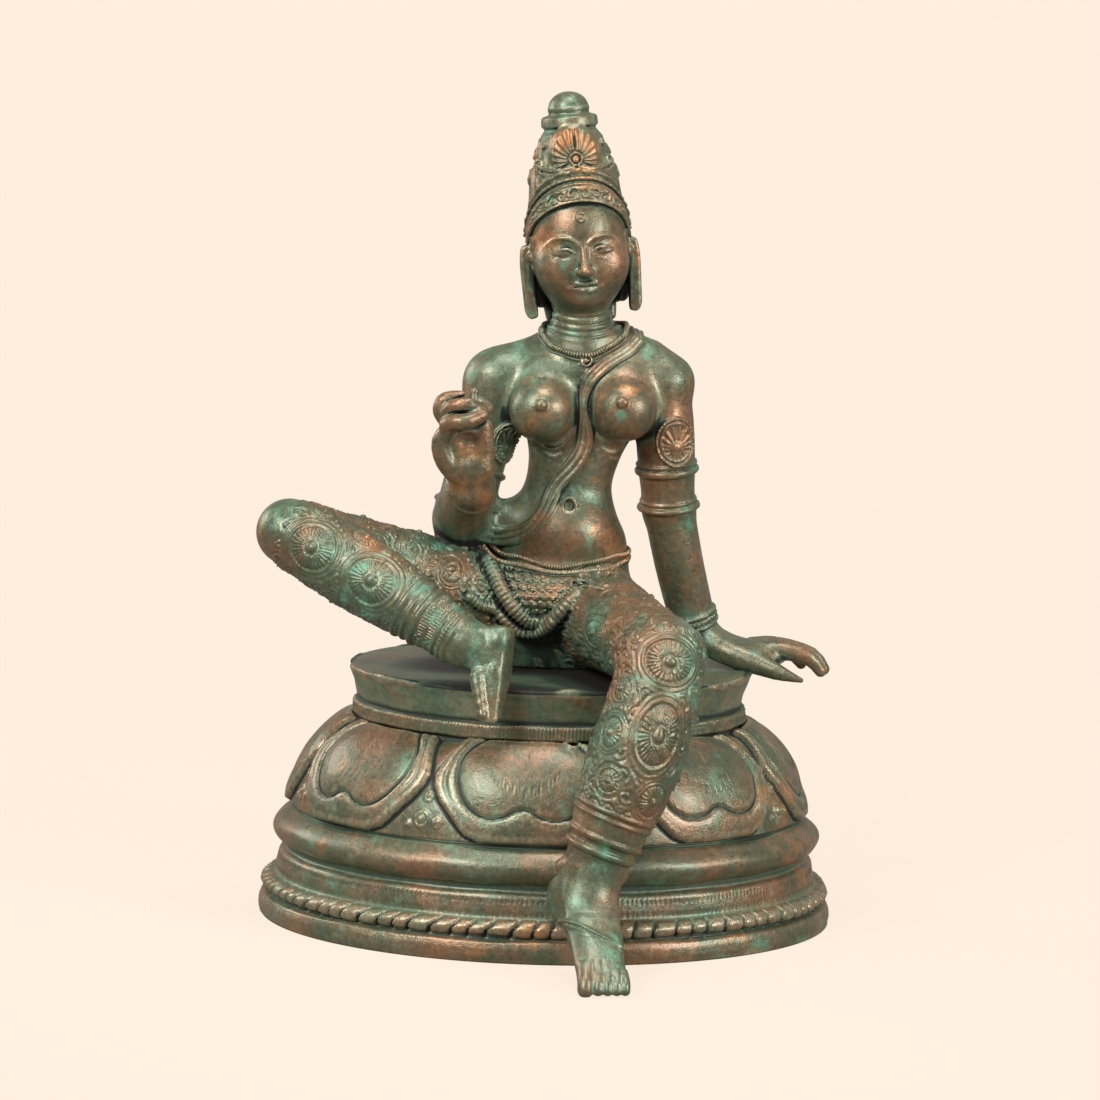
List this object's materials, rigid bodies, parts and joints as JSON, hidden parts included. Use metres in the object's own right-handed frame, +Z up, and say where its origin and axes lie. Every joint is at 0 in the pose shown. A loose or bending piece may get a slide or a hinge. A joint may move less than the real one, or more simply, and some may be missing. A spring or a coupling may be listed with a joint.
{
  "type": "bronze goddess idol",
  "caption": "Seated bronze goddess idol at royal ease, one leg hanging, leaning on one hand, on an oval lotus pedestal with a green patina.",
  "frame": {"origin": "centre of the oval pedestal's underside", "axes": "+Z up, the goddess faces -Y, +X is the viewer's right (her left)"},
  "size_m": [0.2063, 0.2131, 0.2951],
  "materials": {
    "goddess_bronze": "cast bronze with a green patina in the hollows and rubbed coppery high spots",
    "pedestal_bronze": "cast bronze, brown, with green patina in the grooves"
  },
  "bodies": {
    "root": {"goddess": "goddess_bronze", "lotus_pedestal": "pedestal_bronze"}
  },
  "joints": []
}
